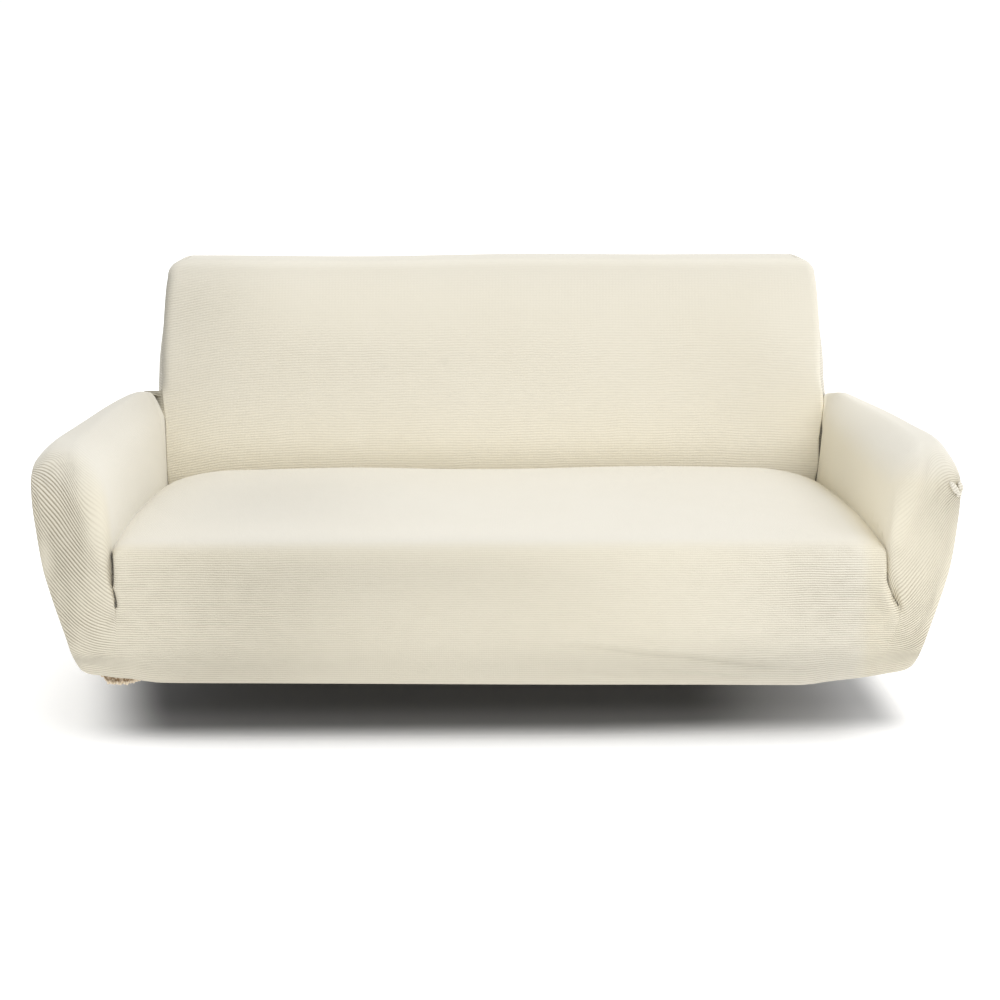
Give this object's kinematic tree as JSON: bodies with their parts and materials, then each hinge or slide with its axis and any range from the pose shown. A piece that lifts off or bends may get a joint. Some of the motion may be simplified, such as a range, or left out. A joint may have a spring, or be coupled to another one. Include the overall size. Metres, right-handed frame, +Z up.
{
  "type": "fitted sofa slipcover",
  "caption": "Fitted stretch slipcover for a two-seat sofa with rounded arms, in fine ribbed cream knit, shaped as it hangs on the sofa, hollow and open below.",
  "frame": {"origin": "middle of the cover's width, on the inside of the cloth under the top of the back, where the sofa's back carries it", "axes": "+X towards the right arm as seen from the front, +Y towards the back, +Z up; the sofa's floor is 0.904 m below the origin"},
  "size_m": [1.8068, 0.9341, 0.7759],
  "materials": {
    "front_panel_knit": "matte",
    "arm_side_left_knit": "matte",
    "arm_side_right_knit": "matte",
    "inside_back_knit": "matte",
    "outside_back_knit": "matte"
  },
  "bodies": {
    "root": {"front_panel": "front_panel_knit", "arm_side_left": "arm_side_left_knit", "arm_side_right": "arm_side_right_knit", "inside_back": "inside_back_knit", "outside_back": "outside_back_knit"}
  },
  "joints": []
}
